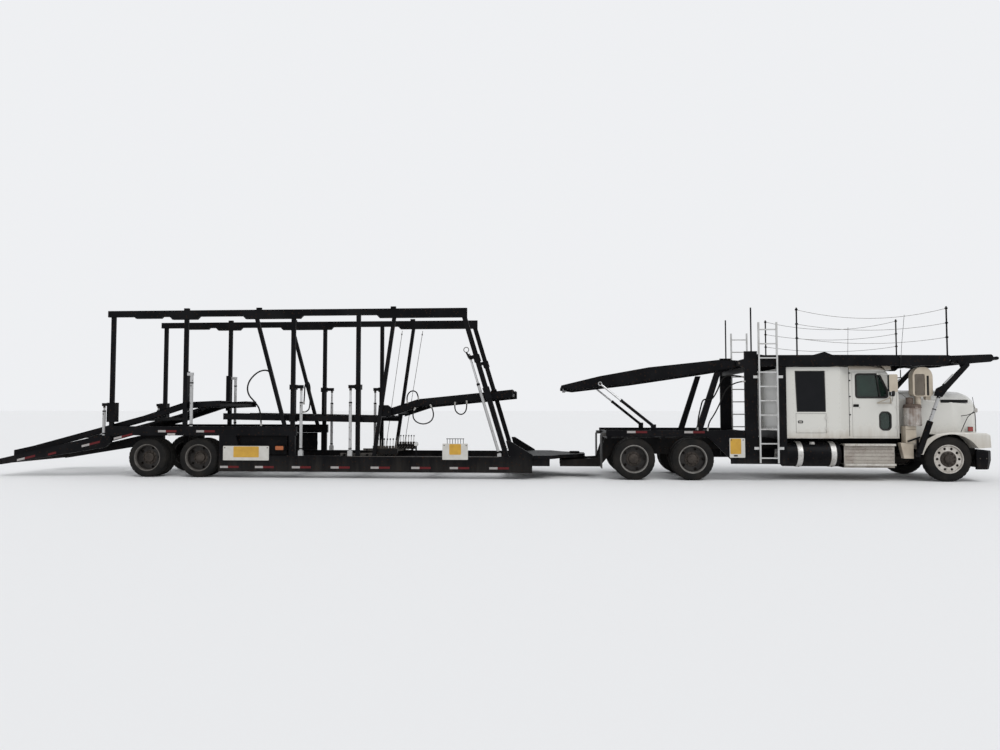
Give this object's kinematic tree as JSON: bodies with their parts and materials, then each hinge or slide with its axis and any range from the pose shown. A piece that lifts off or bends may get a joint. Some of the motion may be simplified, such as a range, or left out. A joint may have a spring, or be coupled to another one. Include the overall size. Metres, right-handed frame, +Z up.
{
  "type": "car transporter truck",
  "caption": "Articulated car transporter: long-bonnet sleeper tractor with a head rack over its roof, and a low-hitched trailer with tilting and lifting platforms under open rails.",
  "frame": {"origin": "ground level under the middle of the whole vehicle's length and width", "axes": "+X forward along the vehicle, +Y to its left, +Z up"},
  "size_m": [23.14, 2.59, 4],
  "materials": {
    "white_paint": "gloss",
    "black_paint": "semi-gloss",
    "chassis_paint": "satin",
    "aluminium": "brushed",
    "stainless": "polished",
    "chrome": "polished",
    "cylinder_paint": "satin",
    "cast_iron": "rough",
    "tyre": "matt",
    "glass": "tinted",
    "trim": "matt",
    "rubber": "matt",
    "grille": "satin"
  },
  "bodies": {
    "truck": {"truck_frame": "chassis_paint", "engine_block": "cast_iron", "drop_hitch": "chassis_paint", "truck_axles": "chassis_paint", "cab_shell": "white_paint", "windscreen": "glass", "sleeper_shell": "white_paint", "cab_interior": "trim", "front_bumper": "black_paint", "fuel_tanks": "black_paint", "step_boxes": "aluminium", "air_cleaners": "stainless", "side_frames": "black_paint", "mud_flaps": "rubber", "head_rack_posts": "black_paint", "deck_rests": "black_paint", "ladders": "aluminium", "cylinder_feet": "black_paint"},
    "hood": {"hood": "white_paint", "grille": "grille"},
    "knuckle_left": {"knuckle_left": "cast_iron"},
    "knuckle_right": {"knuckle_right": "cast_iron"},
    "front_wheel_left": {"front_wheel_left": "tyre"},
    "front_wheel_right": {"front_wheel_right": "tyre"},
    "head_rack": {"head_rack_deck": "black_paint"},
    "rack_leg_barrels": {"leg_barrels": "black_paint"},
    "rack_leg_rods": {"leg_rods": "chrome"},
    "rear_deck": {"rear_deck": "black_paint"},
    "deck_arm_barrels": {"arm_barrels": "black_paint"},
    "deck_arm_rods": {"arm_rods": "chrome"},
    "trailer": {"trailer_sills": "black_paint", "cross_beams": "black_paint", "trailer_nose": "black_paint", "lower_deck": "black_paint", "trailer_axles": "chassis_paint", "trailer_posts": "black_paint", "upper_rails": "black_paint", "platform_pivots": "black_paint", "lift_barrels": "cylinder_paint"},
    "front_platform": {"front_platform": "black_paint"},
    "front_carriages": {"front_carriages": "black_paint"},
    "middle_platform": {"middle_platform": "black_paint", "middle_carriages": "black_paint"},
    "rear_platform": {"rear_platform": "black_paint"},
    "rear_carriages": {"rear_carriages": "black_paint"},
    "door_left": {"door_left": "white_paint", "door_glass_left": "glass"},
    "locker_hatch_left": {"locker_hatch_left": "white_paint"},
    "door_right": {"door_right": "white_paint", "door_glass_right": "glass"},
    "locker_hatch_right": {"locker_hatch_right": "white_paint"},
    "drive_wheel_1_left": {"drive_wheel_1_left": "tyre"},
    "drive_wheel_1_right": {"drive_wheel_1_right": "tyre"},
    "drive_wheel_2_left": {"drive_wheel_2_left": "tyre"},
    "drive_wheel_2_right": {"drive_wheel_2_right": "tyre"},
    "trailer_wheel_1_left": {"trailer_wheel_1_left": "tyre"},
    "trailer_wheel_1_right": {"trailer_wheel_1_right": "tyre"},
    "trailer_wheel_2_left": {"trailer_wheel_2_left": "tyre"},
    "trailer_wheel_2_right": {"trailer_wheel_2_right": "tyre"}
  },
  "joints": [
    {"name": "steer_left", "type": "hinge", "parent": "truck", "child": "knuckle_left", "pos_m": [10.39, 0.83, 0.5], "axis": [0, 0, 1], "range_deg": [-30, 30]},
    {"name": "front_wheel_left_spin", "type": "hinge", "parent": "knuckle_left", "child": "front_wheel_left", "pos_m": [10.39, 1.035, 0.5], "axis": [0, 1, 0], "continuous": true},
    {"name": "steer_right", "type": "hinge", "parent": "truck", "child": "knuckle_right", "pos_m": [10.39, -0.83, 0.5], "axis": [0, 0, 1], "range_deg": [-30, 30]},
    {"name": "front_wheel_right_spin", "type": "hinge", "parent": "knuckle_right", "child": "front_wheel_right", "pos_m": [10.39, -1.035, 0.5], "axis": [0, 1, 0], "continuous": true},
    {"name": "drive_wheel_1_left_spin", "type": "hinge", "parent": "truck", "child": "drive_wheel_1_left", "pos_m": [4.81, 0.937, 0.475], "axis": [0, 1, 0], "continuous": true},
    {"name": "drive_wheel_1_right_spin", "type": "hinge", "parent": "truck", "child": "drive_wheel_1_right", "pos_m": [4.81, -0.937, 0.475], "axis": [0, 1, 0], "continuous": true},
    {"name": "drive_wheel_2_left_spin", "type": "hinge", "parent": "truck", "child": "drive_wheel_2_left", "pos_m": [3.5, 0.937, 0.475], "axis": [0, 1, 0], "continuous": true},
    {"name": "drive_wheel_2_right_spin", "type": "hinge", "parent": "truck", "child": "drive_wheel_2_right", "pos_m": [3.5, -0.937, 0.475], "axis": [0, 1, 0], "continuous": true},
    {"name": "trailer_wheel_1_left_spin", "type": "hinge", "parent": "trailer", "child": "trailer_wheel_1_left", "pos_m": [-6.68, 0.937, 0.46], "axis": [0, 1, 0], "continuous": true},
    {"name": "trailer_wheel_1_right_spin", "type": "hinge", "parent": "trailer", "child": "trailer_wheel_1_right", "pos_m": [-6.68, -0.937, 0.46], "axis": [0, 1, 0], "continuous": true},
    {"name": "trailer_wheel_2_left_spin", "type": "hinge", "parent": "trailer", "child": "trailer_wheel_2_left", "pos_m": [-7.93, 0.937, 0.46], "axis": [0, 1, 0], "continuous": true},
    {"name": "trailer_wheel_2_right_spin", "type": "hinge", "parent": "trailer", "child": "trailer_wheel_2_right", "pos_m": [-7.93, -0.937, 0.46], "axis": [0, 1, 0], "continuous": true},
    {"name": "trailer_pivot", "type": "hinge", "parent": "truck", "child": "trailer", "pos_m": [2.19, 0, 0.457], "axis": [0, 0, 1], "range_deg": [-50, 50]},
    {"name": "hood_tilt", "type": "hinge", "parent": "truck", "child": "hood", "pos_m": [11.24, 0, 0.76], "axis": [0, 1, 0], "range_deg": [0, 38]},
    {"name": "door_left_swing", "type": "hinge", "parent": "truck", "child": "door_left", "pos_m": [9.363, 1.032, 1.7], "axis": [0, 0, -1], "range_deg": [0, 65]},
    {"name": "locker_hatch_left_swing", "type": "hinge", "parent": "truck", "child": "locker_hatch_left", "pos_m": [7.767, 1.187, 1.29], "axis": [0, 0, -1], "range_deg": [0, 95]},
    {"name": "door_right_swing", "type": "hinge", "parent": "truck", "child": "door_right", "pos_m": [9.363, -1.032, 1.7], "axis": [0, 0, 1], "range_deg": [0, 65]},
    {"name": "locker_hatch_right_swing", "type": "hinge", "parent": "truck", "child": "locker_hatch_right", "pos_m": [7.767, -1.187, 1.29], "axis": [0, 0, 1], "range_deg": [0, 95]},
    {"name": "rack_lift", "type": "hinge", "parent": "truck", "child": "head_rack", "pos_m": [6.12, 0, 2.8], "axis": [0, -1, 0], "range_deg": [0, 10]},
    {"name": "rack_leg_swing", "type": "hinge", "parent": "truck", "child": "rack_leg_barrels", "pos_m": [9.69, 0, 0.59], "axis": [0, -1, 0], "range_deg": [0, 6.18]},
    {"name": "rack_leg_extend", "type": "slide", "parent": "rack_leg_barrels", "child": "rack_leg_rods", "axis": [0.3401, 0, 0.9404], "range_m": [0, 0.7364]},
    {"name": "rear_deck_tilt", "type": "hinge", "parent": "truck", "child": "rear_deck", "pos_m": [5.85, 0, 2.64], "axis": [0, 1, 0], "range_deg": [0, 10]},
    {"name": "deck_arm_swing", "type": "hinge", "parent": "truck", "child": "deck_arm_barrels", "pos_m": [3.94, 0, 1.215], "axis": [0, 1, 0], "range_deg": [0, 12.27]},
    {"name": "deck_arm_extend", "type": "slide", "parent": "deck_arm_barrels", "child": "deck_arm_rods", "axis": [-0.7777, 0, 0.6286], "range_m": [0, 0.4151]},
    {"name": "front_platform_tilt", "type": "hinge", "parent": "trailer", "child": "front_platform", "pos_m": [-2.15, 0, 1.54], "axis": [0, -1, 0], "range_deg": [0, 18]},
    {"name": "front_carriage_rise", "type": "slide", "parent": "trailer", "child": "front_carriages", "axis": [-0.2893, 0, 0.9572], "range_m": [0, 0.752]},
    {"name": "middle_platform_lift", "type": "slide", "parent": "trailer", "child": "middle_platform", "axis": [0, 0, 1], "range_m": [0, 0.9]},
    {"name": "rear_platform_tilt", "type": "hinge", "parent": "trailer", "child": "rear_platform", "pos_m": [-7.01, 0, 1.69], "axis": [0, 1, 0], "range_deg": [0, 15]},
    {"name": "rear_carriage_rise", "type": "slide", "parent": "trailer", "child": "rear_carriages", "axis": [0, 0, 1], "range_m": [0, 0.4869]}
  ],
  "couplings": [
    {"joint": "steer_right", "follows": "steer_left", "ratio": 1},
    {"joint": "rack_leg_swing", "follows": "rack_lift", "ratio": 0.58827},
    {"joint": "rack_leg_extend", "follows": "rack_lift", "m_per_rad": 4.1961},
    {"joint": "deck_arm_swing", "follows": "rear_deck_tilt", "ratio": 1.1974},
    {"joint": "deck_arm_extend", "follows": "rear_deck_tilt", "m_per_rad": 2.3552},
    {"joint": "front_carriage_rise", "follows": "front_platform_tilt", "m_per_rad": 2.3809},
    {"joint": "rear_carriage_rise", "follows": "rear_platform_tilt", "m_per_rad": 1.8446}
  ]
}
